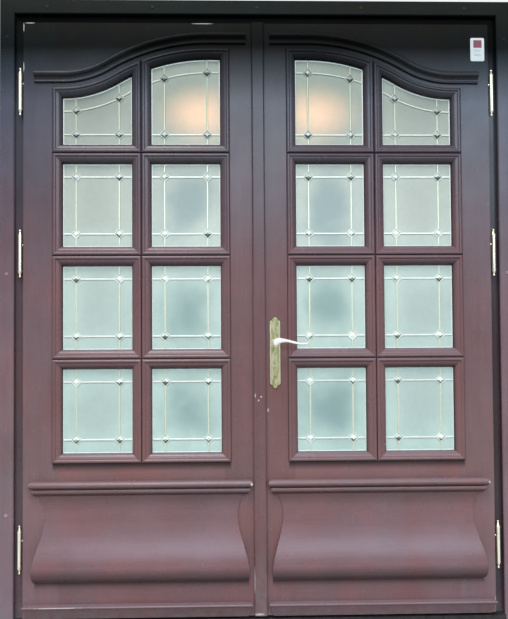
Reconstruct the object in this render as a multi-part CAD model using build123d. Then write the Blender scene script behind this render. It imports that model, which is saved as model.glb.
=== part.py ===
from build123d import *
from math import asin, atan, cos, hypot, sin, sqrt
import os

# A pair of glazed entrance doors in their timber frame. Millimetres, +X to the right as seen from the front,
# the front faces -Y, +Z up. The origin is under the middle of the threshold. Each leaf is drawn on the right
# (+X) and mirrored to the left. On a leaf, u is the distance from the meeting line and equals X on the right.

# Frame
face_width = 50  # frame face outside the hinge recess
recess_width = 32  # band between that face and the leaf's edge, where the hinges stand
frame_depth = 90
leaf_setback = 2  # the leaf's front lies this far behind the frame's face
lip_overlap = 14  # the leaf's front lip laps the frame's rebate
lip_gap = 1.5  # running gap behind the lip
body_gap = 3  # running gap round the leaf's body
stop_cover = 12  # the frame's stop reaches this far behind the leaf
seal_space = 4  # leaf to stop, taken up by the seal
seal_width = 9
seal_play = 0.3  # the seal just clears the leaf
arris = 3  # bevel along the frame face's inner edge
threshold_height = 30
threshold_fall = 6  # the threshold's front edge is lower by this
threshold_slope = 28  # depth of its sloping front
stop_rise = 11  # the threshold's upstand reaches this far above the leaf's foot
plug_radius = 6.5
plug_proud = 1.6
plug_depth = 8
plug_bevel = 1
head_plug_inset = 115  # outermost plugs, from the frame face's inner edge
head_plug_count = 5
jamb_plug_base = 388
jamb_plug_drop = 134  # the topmost plug, below the frame's top
jamb_plug_count = 3
snug = 0.05  # radial play of pins and plugs in their holes
fit_gap = 0.3  # play of pieces let into the timber

# Leaf
leaf_width = 821
leaf_height = 2080
leaf_thickness = 56
lip_thickness = 20
meeting_gap = 4
bottom_gap = 4

# Lights: two columns and four rows under an ogee arch
columns = 2
rows = 4
light_pitch_gap = 70  # sight line to sight line across a bar
meeting_margin = 132.5  # leaf's meeting edge to the first sight line
hinge_margin = 135.5  # last sight line to the lip's edge
foot_margin = 565  # leaf's foot to the lowest sight line
crown_margin = 125  # the arch's crown to the leaf's top
crown_extra = 12  # the top row is taller than the others by this, at the crown
arch_fall_share = 0.46  # the arch falls by this share of the top row's height
crown_flat = 40  # level stretch before the arch starts to fall
crown_share = 0.62  # part of the ogee that the crown's arc takes
rebate = 12  # sight line to timber
glass_thickness = 6
glass_depth = 18  # glass front behind the leaf's front
glass_play = 2  # pane edge to timber

# Glazing beads
bead_lip = 5  # depth of the bead's straight inner edge
bead_height = 9  # roll above the leaf's front
slope_top = 5.5  # height where slope and roll meet
bead_root = 2  # height of the roll's outer edge
slope_width = 19
slope_bulge = 4.5
roll_start = 21
back_bead_inset = 2
back_bead_bevel = 7

# Leaded pattern on each pane
came_width = 7
came_thickness = 2.6
came_bevel = 1.8
came_inset = 45
came_inset_under_arch = 36  # lowest came of the top row
lozenge_half = 14
lozenge_top_half = 5
lozenge_thickness = 6
setting_half = 20.5  # the metal setting round a lozenge, centre to corner
setting_play = 0.3

# Arch moulding
arch_band_rise = 50  # sight line to the moulding's lower edge
arch_band_width = 45
arch_band_height = 18
arch_band_meeting_inset = 40
arch_band_hinge_inset = 39
astragal_width = 8
astragal_height = 9
quirk_height = 5
cove_end = 21
cove_offset = 1  # the cove's middle stands off the line of its ends
arch_band_root = 1  # the roll's last edge leans in by this
band_edge = 6

# Middle rail, bottom rail and lower panel
middle_rail_foot = 406  # leaf's foot to the rail's underside
bottom_rail_height = 156
panel_thickness = 22
tongue_depth = 10
tongue_thickness = 8

# Dado moulding, apron and weatherboard: insets from the leaf's edges, and projections
dado_meeting_inset = 25
dado_hinge_inset = 26
dado_top = 470  # above the leaf's foot
dado_roll = 24
dado_groove = 3
dado_band = 13
dado_undercut = 8
dado_projection = 34
dado_band_projection = 25
dado_groove_projection = 15
dado_band_round = 2
apron_foot = 127
apron_inset_top = 33  # shorter than the dado at each end by this
apron_inset_waist = 50
apron_inset_bulge = 14
apron_waist_drop = 100
apron_bulge_drop = 245
apron_top_thickness = 13
apron_waist_thickness = 8
apron_bulge_thickness = 42
apron_foot_thickness = 18
apron_foot_tuck = 1  # the ends draw in again below the bulge
apron_edge_round = 4
board_meeting_inset = 26
board_hinge_inset = 3
board_foot = 2
board_height = 44
board_projection = 28
board_foot_projection = 12
board_nose = 9
board_fall = 1  # the weatherboard's top falls outwards by this

# Meeting strip
strip_width = 45
strip_thickness = 14
strip_relief = 0.6  # its back clears the left leaf by this
strip_round = 6
strip_end_gap = 2

# Hinges
hinge_offset = 10.5  # leaf's edge to the hinge pin
low_hinge = 236  # above the leaf's foot
top_hinge_drop = 247  # below the leaf's top
middle_hinge_share = 0.643  # of the way from the low hinge to the top one
barrel_radius = 7.5
barrel_length = 60
hinge_pin_radius = 3.5
hinge_pin_half = 46
collar_thickness = 1.5  # the pin's collar, between the two halves
collar_play = 0.1
finial_length = 25
finial_collar = 3
finial_rim = 1
finial_neck_radius = 3
finial_ball_radius = 5
stud_radius = 4
leaf_stud_length = 42
frame_stud_length = 56
stud_angle = 28  # the leaf's stud slants back by this

# Lock
backset = 53  # leaf's edge to spindle and cylinder
spindle_z = 945  # above the leaf's foot
cylinder_drop = 90
case_width = 88
case_thickness = 16
case_wall = 1.5
case_above = 30
case_below = 36
plate_edge_width = 20
plate_edge_thickness = 3
plate_edge_above = 70
plate_edge_below = 75
follower_radius = 10
follower_tab = 8
spindle_side = 8
spindle_hole_radius = 11
latch_width = 11
latch_height = 20
latch_length = 33
latch_bevel = 7
latch_reach = 2.5  # latch tip in the gap between the leaves at rest
latch_throw = 12
bolt_width = 11
bolt_height = 20
bolt_length = 46
bolt_rise = 31  # bolt's centre above the cylinder's
bolt_throw = 20
pocket_play = 2

# Key cylinder
cylinder_radius = 8.5
cylinder_leg = 10
cylinder_drop_length = 33
plug_core_radius = 5.5
cylinder_proud = 3
cam_radius = 15
cam_width = 9
cam_gap = 0.5
key_slot_width = 2.2
key_slot_height = 8
key_slot_depth = 6

# Handle plates and levers
plate_width = 39
plate_body = 229
plate_round = 9
plate_lobe_radius = 10.5
plate_thickness = 6
plate_bevel = 1.5
plate_rise = 33  # spindle above the plate's middle
relief_depth = 1.6
relief_width = 25
relief_heights = ((57, 106), (-42, -2))  # panels above and below the hub, from the plate's middle
relief_round = 5
boss_scale = 0.55
neck_radius = 9
neck_length = 36
hub_radius = 13
hub_depth = 17
hub_shoulder = 2
lever_length = 114
lever_sections = (
    # share of the length, rise, half height, half depth
    (0.00, 1.0, 11.5, 7.0),
    (0.17, 7.5, 8.5, 6.5),
    (0.40, 5.0, 5.2, 5.6),
    (0.62, -1.5, 4.4, 5.2),
    (0.82, -4.5, 3.8, 4.6),
    (0.95, -2.5, 2.8, 3.4),
    (1.00, -1.0, 1.2, 1.6),
)
spindle_socket = 20
screw_radius = 3.6
screw_head_height = 1.8
screw_shank_radius = 1.9
screw_shank_length = 24

# Flush bolts in the left leaf's meeting edge
flush_width = 16
flush_depth = 13
flush_length = 200
flush_rod_radius = 4
flush_rod_length = 130
flush_inset = 2  # rod's end inside the leaf at rest
flush_throw = 16
thumb_width = 5
thumb_height = 12
thumb_proud = 1
keeper_width = 20
keeper_length = 30
keeper_thickness = 2

# Places worked out from the sizes above
frame_front = -frame_depth / 2
frame_back = frame_depth / 2
leaf_front = frame_front + leaf_setback
leaf_back = leaf_front + leaf_thickness
leaf_middle = leaf_front + leaf_thickness / 2
lip_back = leaf_front + lip_thickness
recess_floor = lip_back + lip_gap
stop_front = leaf_back + seal_space
leaf_foot = threshold_height + bottom_gap
leaf_top = leaf_foot + leaf_height
body_top = leaf_top - lip_overlap
meeting_edge = meeting_gap / 2
lip_edge = meeting_edge + leaf_width
body_edge = lip_edge - lip_overlap
face_edge = lip_edge + recess_width
cheek_edge = body_edge + body_gap
stop_edge = body_edge - stop_cover
outer_edge = face_edge + face_width
head_face = leaf_top + recess_width
head_cheek = body_top + body_gap
head_stop = body_top - stop_cover
head_top = head_face + face_width
upstand_top = leaf_foot + stop_rise

hinge_span = leaf_height - low_hinge - top_hinge_drop
hinge_heights = (low_hinge, low_hinge + middle_hinge_share * hinge_span, low_hinge + hinge_span)
head_plug_pitch = 2 * (face_edge - head_plug_inset) / (head_plug_count - 1)
jamb_plug_pitch = (head_top - jamb_plug_drop - jamb_plug_base) / (jamb_plug_count - 1)

light_width = (leaf_width - meeting_margin - hinge_margin - (columns - 1) * light_pitch_gap) / columns
light_height = (leaf_height - foot_margin - crown_margin - crown_extra - (rows - 1) * light_pitch_gap) / rows
arch_crown_rise = light_height + crown_extra
arch_foot_rise = arch_crown_rise * (1 - arch_fall_share)
glass_front = leaf_front + glass_depth
glass_back = glass_front + glass_thickness
bead_width = light_pitch_gap / 2
sight_left = [meeting_edge + meeting_margin + i * (light_width + light_pitch_gap) for i in range(columns)]
sight_right = [left + light_width for left in sight_left]
row_foot = [leaf_foot + foot_margin + i * (light_height + light_pitch_gap) for i in range(rows)]
row_head = [foot + light_height for foot in row_foot[:-1]]
timber_left = sight_left[0] - rebate
timber_right = sight_right[-1] + rebate
timber_foot = row_foot[0] - rebate

crown_z = row_foot[-1] + arch_crown_rise
foot_z = row_foot[-1] + arch_foot_rise
crown_u = sight_left[0] + crown_flat
foot_u = sight_right[-1]
ogee_angle = 2 * atan((crown_z - foot_z) / (foot_u - crown_u))
ogee_radii = (foot_u - crown_u) / sin(ogee_angle)
crown_radius = ogee_radii * crown_share
foot_radius = ogee_radii - crown_radius
crown_centre = crown_z - crown_radius
foot_centre = foot_z + foot_radius

arch_band_start = meeting_edge + arch_band_meeting_inset
arch_band_end = lip_edge - arch_band_hinge_inset
dado_start = meeting_edge + dado_meeting_inset
dado_end = lip_edge - dado_hinge_inset
dado_centre = (dado_start + dado_end) / 2
dado_half = (dado_end - dado_start) / 2
dado_foot_z = leaf_foot + dado_top - dado_roll - dado_groove - dado_band - dado_undercut
board_start = meeting_edge + board_meeting_inset
board_end = lip_edge - board_hinge_inset

hinge_u = lip_edge + hinge_offset
hinge_y = leaf_front
lock_u = meeting_edge + backset
hub_z = leaf_foot + spindle_z
cylinder_z = hub_z - cylinder_drop
bolt_z = cylinder_z + bolt_rise
case_top = hub_z + case_above
case_foot = cylinder_z - case_below
plate_middle = hub_z - plate_rise
lock_edge_top = hub_z + plate_edge_above
lock_edge_foot = cylinder_z - plate_edge_below
rod_u = meeting_edge + flush_depth / 2 + thumb_proud
rod_y = (lip_back + leaf_back) / 2

parts = {}


# Shapes shared by many pieces


def block(x0, x1, y0, y1, z0, z1):
    """A box between two corners."""
    centre = Pos((x0 + x1) / 2, (y0 + y1) / 2, (z0 + z1) / 2)
    return centre * Box(abs(x1 - x0), abs(y1 - y0), abs(z1 - z0))


def rect(x0, x1, z0, z1):
    """A rectangle between two corners, on a sketch plane."""
    return Pos((x0 + x1) / 2, (z0 + z1) / 2) * Rectangle(x1 - x0, z1 - z0)


def slab(sketch, y0, y1):
    """An elevation drawn in X and Z, given its depth from y0 to y1."""
    return extrude(Plane.XZ.offset(-y1) * sketch, amount=y1 - y0)


def outline(start, *steps):
    """A closed face. A step is the next point, or a pair of points for an arc through the first to the
    second."""
    edges = []
    here = start
    for step in steps:
        if isinstance(step[0], tuple):
            through, end = step
            edges.append(ThreePointArc(here, through, end))
        else:
            end = step
            edges.append(Line(here, end))
        here = end
    if here != start:
        edges.append(Line(here, start))
    return make_face(edges)


def rod(x, y0, y1, z, radius):
    """A round rod or hole along Y."""
    return Pos(x, (y0 + y1) / 2, z) * Rot(90, 0, 0) * Cylinder(radius, abs(y1 - y0))


def post(x, y, z0, z1, radius):
    """A round rod or hole along Z."""
    return Pos(x, y, (z0 + z1) / 2) * Cylinder(radius, abs(z1 - z0))


def group(solids):
    """Several solids kept apart in one node."""
    flat = []
    for solid in solids:
        flat.extend(solid.solids())
    return Compound(children=flat)


def mirrored(solid):
    """The same piece on the left leaf."""
    return mirror(solid, about=Plane.YZ)


def both_leaves(name, solids):
    """Stores a right piece or group and its mirror image."""
    right = group(solids)
    parts["right_" + name] = right
    parts["left_" + name] = group([mirrored(solid) for solid in right.solids()])


# The ogee: a level crown, an arc that falls, an arc that levels out, and a level foot. An offset moves it
# outwards (up), so that every edge and moulding follows the same two centres.


def ogee_edges(offset, u0, u1, y=None):
    """The ogee from u0 to u1. With y it is a path in space, otherwise it lies on a sketch plane."""

    def at(u, z):
        return (u, z) if y is None else (u, y, z)

    big, small = crown_radius + offset, foot_radius - offset
    half = ogee_angle / 2

    def on_crown(angle):
        return at(crown_u + big * sin(angle), crown_centre + big * cos(angle))

    def on_foot(angle):
        return at(foot_u - small * sin(angle), foot_centre - small * cos(angle))

    return [
        Line(at(u0, crown_z + offset), on_crown(0)),
        ThreePointArc(on_crown(0), on_crown(half), on_crown(ogee_angle)),
        ThreePointArc(on_foot(ogee_angle), on_foot(half), on_foot(0)),
        Line(on_foot(0), at(u1, foot_z + offset)),
    ]


def ogee_height(u, offset):
    """Height of the ogee above u."""
    big, small = crown_radius + offset, foot_radius - offset
    if u <= crown_u:
        return crown_z + offset
    if u <= crown_u + big * sin(ogee_angle):
        return crown_centre + sqrt(big**2 - (u - crown_u) ** 2)
    if u < foot_u:
        return foot_centre - sqrt(small**2 - (foot_u - u) ** 2)
    return foot_z + offset


def arched(x0, x1, z0, offset):
    """The area under the ogee between x0 and x1, down to z0."""
    u0, u1 = 0, foot_u + foot_radius
    path = ogee_edges(offset, u0, u1)
    sides = [
        Line((u0, z0), (u0, crown_z + offset)),
        Line((u1, foot_z + offset), (u1, z0)),
        Line((u1, z0), (u0, z0)),
    ]
    return make_face(path + sides) & rect(x0, x1, z0, crown_z + bead_width + rebate)


# Frame


def frame_section():
    """Section of jamb and head, drawn inwards (x) from the outer edge and backwards (y)."""
    face = outer_edge - face_edge
    cheek = outer_edge - cheek_edge
    stop = outer_edge - stop_edge
    return outline(
        (0, frame_front),
        (face - arris, frame_front),
        (face, frame_front + arris),
        (face, recess_floor),
        (cheek, recess_floor),
        (cheek, stop_front),
        (stop, stop_front),
        (stop, frame_back),
        (0, frame_back),
    )


def plug_places():
    """Fixing plugs on the frame's face, as X and Z."""
    middle = face_edge + face_width / 2
    spots = [(head_plug_pitch * (i - (head_plug_count - 1) / 2), head_face + face_width / 2)
             for i in range(head_plug_count)]
    for side in (-1, 1):
        spots += [(side * middle, jamb_plug_base + i * jamb_plug_pitch) for i in range(jamb_plug_count)]
    return spots


def frame():
    section = frame_section()
    overrun = face_width
    jamb_area = make_face(Polyline(
        (outer_edge + overrun, 0), (outer_edge + overrun, head_top + overrun),
        (stop_edge - overrun, head_stop - overrun), (stop_edge - overrun, 0), close=True))
    head_area = make_face(Polyline(
        (outer_edge + overrun, head_top + overrun), (-outer_edge - overrun, head_top + overrun),
        (-stop_edge + overrun, head_stop - overrun), (stop_edge - overrun, head_stop - overrun), close=True))
    jamb_plane = Plane(origin=(outer_edge, 0, 0), x_dir=(-1, 0, 0), z_dir=(0, 0, -1))
    jamb = extrude(jamb_plane * section, amount=-head_top)
    jamb = jamb & slab(jamb_area, frame_front, frame_back)
    head_plane = Plane(origin=(0, 0, head_top), x_dir=(0, 0, -1), z_dir=(1, 0, 0))
    head = extrude(head_plane * section, amount=outer_edge, both=True)
    head = head & slab(head_area, frame_front, frame_back)
    plug_holes = [rod(x, frame_front, frame_front + plug_depth, z, plug_radius + snug)
                  for x, z in plug_places()]
    sill_section = outline(
        (frame_front, 0),
        (frame_front, threshold_height - threshold_fall),
        (frame_front + threshold_slope, threshold_height),
        (stop_front, threshold_height),
        (stop_front, upstand_top),
        (frame_back, upstand_top),
        (frame_back, 0),
    )
    sill = extrude(Plane.YZ * sill_section, amount=outer_edge, both=True)
    sill = sill - jamb - mirrored(jamb)
    sockets = post(-rod_u, rod_y, leaf_foot + flush_inset - flush_throw - pocket_play, threshold_height,
                   flush_rod_radius + fit_gap)
    keepers = {}
    for name, z0, z1 in (("sill", threshold_height - keeper_thickness, threshold_height),
                         ("head", head_cheek, head_cheek + keeper_thickness)):
        plate = block(-rod_u - keeper_length / 2, -rod_u + keeper_length / 2,
                      rod_y - keeper_width / 2, rod_y + keeper_width / 2, z0, z1)
        keepers[name] = plate
    head_socket = post(-rod_u, rod_y, head_cheek, body_top - flush_inset + flush_throw + pocket_play,
                       flush_rod_radius + fit_gap)
    parts["threshold"] = sill - keepers["sill"] - sockets
    studs = [frame_stud(z, stud_radius + snug) for z in hinge_heights]
    for hole in plug_holes + studs:
        jamb = jamb - hole
    left_jamb = mirrored(jamb)
    for hole in plug_holes:
        head = head - hole
    parts["right_jamb"] = jamb
    parts["left_jamb"] = left_jamb
    parts["head"] = head - keepers["head"] - head_socket
    parts["bolt_keepers"] = group([keepers["sill"] - sockets, keepers["head"] - head_socket])
    parts["fixing_plugs"] = group(fixing_plug(x, z) for x, z in plug_places())
    inner = slab(rect(-stop_edge, stop_edge, upstand_top, head_stop), leaf_back, stop_front)
    outer = slab(rect(-stop_edge - seal_width, stop_edge + seal_width, upstand_top - seal_width,
                      head_stop + seal_width), leaf_back + seal_play, stop_front)
    parts["frame_seal"] = outer - inner


def fixing_plug(x, z):
    """A round cover let into the frame's face, with a bevelled rim."""
    front = frame_front - plug_proud
    plug = rod(x, front, frame_front + plug_depth, z, plug_radius)
    return chamfer(plug.edges().group_by(Axis.Y)[0], plug_bevel)


# Hinges


def frame_stud(height, radius):
    """Stud of the frame half, straight back into the recess floor."""
    return rod(hinge_u, hinge_y, hinge_y + frame_stud_length, leaf_foot + height - barrel_length / 2, radius)


def leaf_stud(height, radius):
    """Stud of the leaf half, slanting back into the lip."""
    z = leaf_foot + height + barrel_length / 2
    place = Pos(hinge_u, hinge_y, z) * Rot(0, 0, -stud_angle) * Rot(0, -90, 0)
    return place * Cylinder(radius, leaf_stud_length, align=(Align.CENTER, Align.CENTER, Align.MIN))


def ball_end(radius, centre, below):
    """Profile of a turned end: the given points (radius, height) from the axis up, then part of a ball round
    a centre on the axis."""
    last = below[-1]
    top = (0, centre + radius)
    angle = (asin((last[1] - centre) / radius) + asin(1)) / 2
    through = (radius * cos(angle), centre + radius * sin(angle))
    return outline((0, below[0][1]), *below, (through, top))


def finial():
    """A turned cap: collar, tapering neck and a small ball, standing on z = 0."""
    collar = barrel_radius + finial_rim
    centre = finial_length - finial_ball_radius
    neck = centre - sqrt(finial_ball_radius**2 - finial_neck_radius**2)
    below = [(collar, 0), (collar, finial_collar), (finial_neck_radius, neck)]
    profile = ball_end(finial_ball_radius, centre, below)
    return revolve(Plane.XZ * profile, axis=Axis.Z)


def hinge_half(z, up):
    """A barrel with its finial above (up) or below the joint."""
    gap = collar_thickness / 2 + (collar_play if up else 0)
    barrel = post(0, 0, gap, barrel_length, barrel_radius)
    bore = Cylinder(hinge_pin_radius + snug, 2 * hinge_pin_half)
    half = barrel + Pos(0, 0, barrel_length) * finial() - bore
    if not up:
        half = mirror(half, about=Plane.XY)
    return Pos(hinge_u, hinge_y, z) * half


def hinges():
    leaf_halves, frame_halves, pins = [], [], []
    for height in hinge_heights:
        z = leaf_foot + height
        bore = post(hinge_u, hinge_y, z - barrel_length, z + barrel_length, hinge_pin_radius + snug)
        leaf_halves.append(hinge_half(z, True) + (leaf_stud(height, stud_radius) - bore))
        frame_halves.append(hinge_half(z, False) + (frame_stud(height, stud_radius) - bore))
        collar = post(hinge_u, hinge_y, z - collar_thickness / 2, z + collar_thickness / 2, barrel_radius)
        pins.append(collar + post(hinge_u, hinge_y, z - hinge_pin_half, z + hinge_pin_half, hinge_pin_radius))
    both_leaves("hinge_leaf_halves", leaf_halves)
    for name, pieces in (("hinge_frame_halves", frame_halves), ("hinge_pins", pins)):
        parts[name] = group(pieces + [mirrored(piece) for piece in pieces])


# Leaf timber


def leaf_timber():
    """Stiles, rails, muntin, bars and lower panel of a right leaf, before any lock work."""
    lip = slab(rect(meeting_edge, lip_edge, leaf_foot, leaf_top), leaf_front, lip_back)
    body = slab(rect(meeting_edge, body_edge, leaf_foot, body_top), leaf_front, leaf_back)
    whole = lip + body
    deep = (leaf_front, leaf_back)
    foot = leaf_foot + bottom_rail_height
    waist = leaf_foot + middle_rail_foot
    panel_y = (leaf_middle - panel_thickness / 2, leaf_middle + panel_thickness / 2)
    tongue_y = (leaf_middle - tongue_thickness / 2, leaf_middle + tongue_thickness / 2)
    tongue_area = rect(timber_left - tongue_depth, timber_right + tongue_depth, foot - tongue_depth,
                       waist + tongue_depth)
    tongue = slab(tongue_area, *tongue_y)
    panel = slab(rect(timber_left, timber_right, foot, waist), *panel_y) + tongue
    muntin_left = sight_right[0] + rebate
    muntin_right = sight_left[1] - rebate
    arch_opening = slab(arched(timber_left, timber_right, timber_foot, rebate), *deep)
    stile = whole & slab(rect(meeting_edge, timber_left, leaf_foot, leaf_top), *deep)
    hinge_side = whole & slab(rect(timber_right, lip_edge, leaf_foot, leaf_top), *deep)
    top = whole & slab(rect(timber_left, timber_right, foot_z, leaf_top), *deep)
    pieces = {
        "meeting_stile": stile - tongue,
        "hinge_stile": hinge_side - tongue,
        "top_rail": top - arch_opening,
        "middle_rail": slab(rect(timber_left, timber_right, waist, timber_foot), *deep) - tongue,
        "bottom_rail": slab(rect(timber_left, timber_right, leaf_foot, foot), *deep) - tongue,
        "muntin": slab(arched(muntin_left, muntin_right, timber_foot, rebate), *deep),
        "lower_panel": panel,
    }
    bars = []
    for head, next_foot in zip(row_head, row_foot[1:]):
        for x0, x1 in ((timber_left, muntin_left), (muntin_right, timber_right)):
            bars.append(slab(rect(x0, x1, head + rebate, next_foot - rebate), *deep))
    pieces["glazing_bars"] = group(bars)
    for height in hinge_heights:
        pieces["hinge_stile"] = pieces["hinge_stile"] - leaf_stud(height, stud_radius + snug)
    return pieces


# Glazing beads, panes and leaded pattern


def front_bead():
    """Front bead: x from the sight line outwards, y from the leaf's front towards the viewer."""
    inner = -glass_depth
    lip = inner + bead_lip
    roll_mid = (roll_start + bead_width) / 2
    rise = slope_top - lip
    bulge = slope_bulge / hypot(slope_width, rise)
    slope_mid = (slope_width / 2 - bulge * rise, (lip + slope_top) / 2 + bulge * slope_width)
    return outline(
        (0, inner),
        (0, lip),
        (slope_mid, (slope_width, slope_top)),
        (roll_start, slope_top),
        ((roll_mid, bead_height), (bead_width, bead_root)),
        (bead_width, 0),
        (rebate, 0),
        (rebate, inner),
    )


def back_bead():
    """Back bead, from the glass's back to just inside the leaf's back."""
    inner = leaf_front - glass_back
    outer = leaf_front - leaf_back + back_bead_inset
    return outline(
        (0, inner),
        (0, outer + back_bead_bevel),
        (rebate - back_bead_bevel, outer),
        (rebate, outer),
        (rebate, inner),
    )


def straight_bead(profile, out, at, length):
    """The profile run along one side of a light. out is its outward direction, at a point of the sight
    line."""
    x_dir = Vector(out[0], 0, out[1])
    z_dir = x_dir.cross(Vector(0, -1, 0))
    plane = Plane(origin=(at[0], leaf_front, at[1]), x_dir=x_dir, z_dir=z_dir)
    return extrude(plane * profile, amount=length, both=True)


def swept_along_ogee(profile, offset, u0, u1):
    """The profile run along the ogee, x upwards from the path and y towards the viewer."""
    path = Wire(ogee_edges(offset, u0, u1, leaf_front))
    plane = Plane(origin=(u0, leaf_front, crown_z + offset), x_dir=(0, 0, 1), z_dir=(1, 0, 0))
    return sweep(plane * profile, path=path)


def mitre(solid, line_a, line_b):
    """Keeps what lies between two mitre lines, each given from its inner to its outer corner."""

    def past(here, before):
        return (2 * here[0] - before[0], 2 * here[1] - before[1])

    def lengthened(line):
        return [past(line[0], line[1])] + line + [past(line[-1], line[-2])]

    area = make_face(Polyline(*lengthened(line_a), *reversed(lengthened(line_b)), close=True))
    return solid & slab(area, leaf_front - frame_depth, leaf_back + frame_depth)


def light_beads(profile, left, right, foot, head):
    """Four mitred beads round a light. head is its top sight line, or None under the arch."""

    def top(x, offset):
        return ogee_height(x, offset) if head is None else head + offset

    steps = (0, rebate, bead_width)
    low_left = [(left - step, foot - step) for step in steps]
    low_right = [(right + step, foot - step) for step in steps]
    high_left = [(left - step, top(left - step, step)) for step in steps]
    high_right = [(right + step, top(right + step, step)) for step in steps]
    middle = (left + right) / 2
    reach = light_width + light_height
    if head is None:
        upper = swept_along_ogee(profile, 0, crown_u - reach, foot_u + reach)
    else:
        upper = straight_bead(profile, (0, 1), (middle, head), reach)
    return [
        mitre(straight_bead(profile, (0, -1), (middle, foot), reach), low_left, low_right),
        mitre(straight_bead(profile, (-1, 0), (left, foot), reach), low_left, high_left),
        mitre(straight_bead(profile, (1, 0), (right, foot), reach), low_right, high_right),
        mitre(upper, high_left, high_right),
    ]


def beads(profile):
    """Beads of all lights of a leaf. Lights below the top row repeat the lowest one."""
    sticks = []
    for left, right in zip(sight_left, sight_right):
        lowest = light_beads(profile, left, right, row_foot[0], row_head[0])
        for foot in row_foot[:-1]:
            sticks += [Pos(0, 0, foot - row_foot[0]) * stick for stick in lowest]
        sticks += light_beads(profile, left, right, row_foot[-1], None)
    return sticks


def sight_area(left, right, row, grow):
    """The area of a light, grown by a margin on all sides."""
    if row == rows - 1:
        return arched(left - grow, right + grow, row_foot[row] - grow, grow)
    return rect(left - grow, right + grow, row_foot[row] - grow, row_head[row] + grow)


def diamond(half):
    """A square standing on its corner, given from its centre to a corner."""
    return Rot(0, 0, 45) * Rectangle(half * sqrt(2), half * sqrt(2))


def lozenge():
    """A bevelled glass lozenge lying on the y = 0 plane, facing the viewer."""
    base = Plane.XZ * diamond(lozenge_half)
    face = Plane.XZ.offset(lozenge_thickness) * diamond(lozenge_top_half)
    return loft([base.faces()[0], face.faces()[0]])


def came_lattice(left, right, row):
    """The bevelled came lattice of one light, and its crossings as X and Z. It is drawn longer than the light
    so that the bevels run out under the beads."""
    half = came_width / 2
    over = rebate / 2
    foot = row_foot[row]
    top_row = row == rows - 1
    low = foot + (came_inset_under_arch if top_row else came_inset)
    strips = rect(left - over, right + over, low - half, low + half)
    if top_row:
        strips += (arched(left - over, right + over, low, half - came_inset)
                   - arched(left - over, right + over, low, -half - came_inset))
    crossings = []
    for x in (left + came_inset, right - came_inset):
        high = ogee_height(x, -came_inset) if top_row else row_head[row] - came_inset
        end = ogee_height(x, over) if top_row else row_head[row] + over
        strips += rect(x - half, x + half, foot - over, end)
        crossings += [(x, low), (x, high)]
    if not top_row:
        strips += rect(left - over, right + over, high - half, high + half)
    for x, z in crossings:
        strips += Pos(x, z) * diamond(setting_half)
    for x, z in crossings:
        strips -= Pos(x, z) * diamond(lozenge_half + setting_play)
    lattice = slab(strips, glass_front - came_thickness, glass_front)
    lattice = chamfer(lattice.faces().sort_by(Axis.Y)[0].edges(), came_bevel)
    light = slab(sight_area(left, right, row, 0), glass_front - came_thickness, glass_front)
    return lattice & light, crossings


def glazing():
    """Panes, came lattices and lozenges of a leaf."""
    panes, cames, lozenges = [], [], []
    jewel = lozenge()
    for left, right in zip(sight_left, sight_right):
        for row in range(rows):
            lattice, crossings = came_lattice(left, right, row)
            cames.append(lattice)
            lozenges += [Pos(x, glass_front, z) * jewel for x, z in crossings]
            panes.append(slab(sight_area(left, right, row, rebate - glass_play), glass_front, glass_back))
    both_leaves("panes", panes)
    both_leaves("cames", cames)
    both_leaves("lozenges", lozenges)
    both_leaves("glazing_beads", beads(front_bead()) + beads(back_bead()))


# Applied mouldings


def arch_band_profile():
    """Astragal, cove and roll, x from the lower edge up and y out from the leaf."""
    roll_foot = (cove_end, arch_band_height - band_edge)
    crest = (cove_end + arch_band_width - band_edge) / 2
    cove_mid = ((astragal_width + cove_end) / 2 + cove_offset, quirk_height + cove_offset)
    return outline(
        (0, 0),
        (0, quirk_height),
        ((astragal_width / 2, astragal_height), (astragal_width, quirk_height)),
        (cove_mid, roll_foot),
        ((crest, arch_band_height), (arch_band_width - band_edge, roll_foot[1])),
        (arch_band_width - arch_band_root, band_edge),
        (arch_band_width, 0),
    )


def returned(profile, start, end, projection):
    """A moulding with mitred ends: the profile (x out from the leaf, y height) runs across the front and
    round both ends, so the ends have the front's own outline."""
    centre = (start + end) / 2
    half_base = (end - start) / 2 - projection
    across = Plane(origin=(centre, leaf_front, 0), x_dir=(0, -1, 0), z_dir=(-1, 0, 0))
    front = extrude(across * profile, amount=half_base + projection, both=True)
    box = profile.bounding_box()
    side = Pos(half_base, 0) * profile + rect(0, half_base, box.min.Y, box.max.Y)
    outline_face = side + mirror(side, about=Plane.YZ)
    ends = slab(Pos(centre, 0) * outline_face, leaf_front - projection, leaf_front)
    return front & ends


def dado_profile():
    """Roll, groove and band, with an undercut below: x out from the leaf, y height."""
    top = leaf_foot + dado_top
    waist = top - dado_roll
    band_top = waist - dado_groove
    band_foot = band_top - dado_band
    inset = dado_projection - dado_roll / 2
    shoulder = dado_band_projection - dado_band_round
    return outline(
        (0, top),
        (inset, top),
        ((dado_projection, top - dado_roll / 2), (inset, waist)),
        (dado_groove_projection, waist),
        (dado_groove_projection, band_top),
        (shoulder, band_top),
        ((dado_band_projection, (band_top + band_foot) / 2), (shoulder, band_foot)),
        (dado_groove_projection, dado_foot_z),
        (0, dado_foot_z),
    )


def board_profile():
    foot = leaf_foot + board_foot
    top = foot + board_height
    nose = board_projection - board_nose / 2
    return outline(
        (0, foot),
        (board_foot_projection, foot),
        (nose, top - board_nose),
        ((board_projection, top - board_nose / 2), (nose, top)),
        (0, top + board_fall),
    )


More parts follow.
